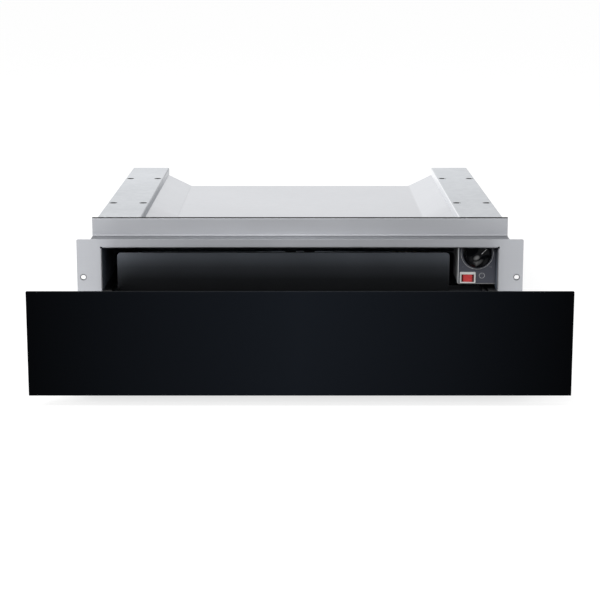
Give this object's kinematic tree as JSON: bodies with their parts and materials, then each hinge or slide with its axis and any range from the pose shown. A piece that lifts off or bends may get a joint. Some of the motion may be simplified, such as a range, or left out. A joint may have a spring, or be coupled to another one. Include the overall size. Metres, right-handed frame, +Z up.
{
  "type": "warming drawer",
  "caption": "Built-in warming drawer with a handle-less black glass front, shown open, on ball runners in a folded steel housing with a fan heater.",
  "frame": {"origin": "middle of the whole part's footprint at the base, with the drawer standing open", "axes": "+X to the right seen from the front, +Y from the drawer front to the back, +Z up"},
  "size_m": [0.595, 0.972, 0.14],
  "materials": {
    "galvanised_sheet": "spangled zinc coating, dull",
    "cover_sheet": "smooth pale zinc coating",
    "frame_steel": "satin",
    "black_enamel": "satin",
    "drawer_paint": "fine satin powder coat",
    "carrier_paint": "satin",
    "inner_steel": "brushed",
    "black_glass": "polished black glass",
    "runner_steel": "zinc plated",
    "cage_steel": "plain",
    "ball_steel": "polished",
    "control_metal": "satin",
    "fascia_paint": "fine satin",
    "black_plastic": "semi-gloss moulded",
    "grey_plastic": "moulded",
    "red_plastic": "translucent moulded",
    "bakelite": "pressed",
    "heater_sheath": "oxidised steel tube",
    "motor_metal": "plain",
    "block_plastic": "moulded",
    "brass_screw": "turned",
    "black_rubber": "matt",
    "mat_rubber": "ribbed, matt",
    "mineral_wool": "pressed wool",
    "screw_steel": "plated"
  },
  "bodies": {
    "housing": {"base_pan": "galvanised_sheet", "left_side_panel": "galvanised_sheet", "right_side_panel": "galvanised_sheet", "front_frame": "frame_steel", "top_cover": "cover_sheet", "rear_panel": "galvanised_sheet", "cavity_liner": "black_enamel", "air_panel": "black_enamel", "liner_supports": "galvanised_sheet", "runner_brackets": "galvanised_sheet", "insulation_mat": "mineral_wool", "control_box": "control_metal", "control_fascia": "fascia_paint", "thermostat_body": "bakelite", "switch_housing": "grey_plastic", "ring_heater": "heater_sheath", "heater_clips": "galvanised_sheet", "fan_motor": "motor_metal", "motor_bracket": "galvanised_sheet", "overheat_cutout": "motor_metal", "terminal_block": "block_plastic", "terminal_screws": "brass_screw", "cable_gland": "black_plastic", "left_outer_runner": "runner_steel", "right_outer_runner": "runner_steel", "latch_body": "grey_plastic", "rear_screws": "screw_steel"},
    "drawer": {"front_glass": "black_glass", "front_carrier": "carrier_paint", "front_inner_panel": "inner_steel", "front_seal": "black_rubber", "front_buffers": "black_rubber", "drawer_tray": "drawer_paint", "tray_back_wall": "drawer_paint", "non_slip_mat": "mat_rubber", "left_inner_runner": "runner_steel", "right_inner_runner": "runner_steel", "latch_striker": "grey_plastic"},
    "middle_runners": {"left_middle_runner": "runner_steel", "right_middle_runner": "runner_steel"},
    "outer_cages": {"left_outer_cage": "cage_steel", "right_outer_cage": "cage_steel", "left_outer_balls": "ball_steel", "right_outer_balls": "ball_steel"},
    "inner_cages": {"left_inner_cage": "cage_steel", "right_inner_cage": "cage_steel", "left_inner_balls": "ball_steel", "right_inner_balls": "ball_steel"},
    "knob": {"control_knob": "black_plastic", "thermostat_shaft": "screw_steel"},
    "rocker": {"red_rocker": "red_plastic"},
    "fan": {"fan_wheel": "motor_metal", "motor_shaft": "screw_steel"},
    "latch": {"latch_plunger": "grey_plastic"}
  },
  "joints": [
    {"name": "drawer_slide", "type": "slide", "parent": "housing", "child": "drawer", "axis": [0, -1, 0], "range_m": [-0.4, 0]},
    {"name": "middle_runner_slide", "type": "slide", "parent": "housing", "child": "middle_runners", "axis": [0, -1, 0], "range_m": [-0.2, 0]},
    {"name": "outer_cage_slide", "type": "slide", "parent": "housing", "child": "outer_cages", "axis": [0, -1, 0], "range_m": [-0.1, 0]},
    {"name": "inner_cage_slide", "type": "slide", "parent": "housing", "child": "inner_cages", "axis": [0, -1, 0], "range_m": [-0.3, 0]},
    {"name": "knob_turn", "type": "hinge", "parent": "housing", "child": "knob", "pos_m": [0.2375, -0.041, 0.0914], "axis": [0, 1, 0], "range_deg": [-45, 225]},
    {"name": "rocker_tilt", "type": "hinge", "parent": "housing", "child": "rocker", "pos_m": [0.2252, -0.0395, 0.0577], "axis": [0, 0, 1], "range_deg": [0, 16]},
    {"name": "fan_spin", "type": "hinge", "parent": "housing", "child": "fan", "pos_m": [0, 0.4053, 0.05515], "axis": [0, 1, 0], "continuous": true},
    {"name": "latch_push", "type": "slide", "parent": "housing", "child": "latch", "axis": [0, 1, 0], "range_m": [0, 0.005], "stiffness_N_per_m": 300, "springref_m": -0.004}
  ],
  "couplings": [
    {"joint": "middle_runner_slide", "follows": "drawer_slide", "ratio": 0.5},
    {"joint": "outer_cage_slide", "follows": "drawer_slide", "ratio": 0.25},
    {"joint": "inner_cage_slide", "follows": "drawer_slide", "ratio": 0.75}
  ]
}
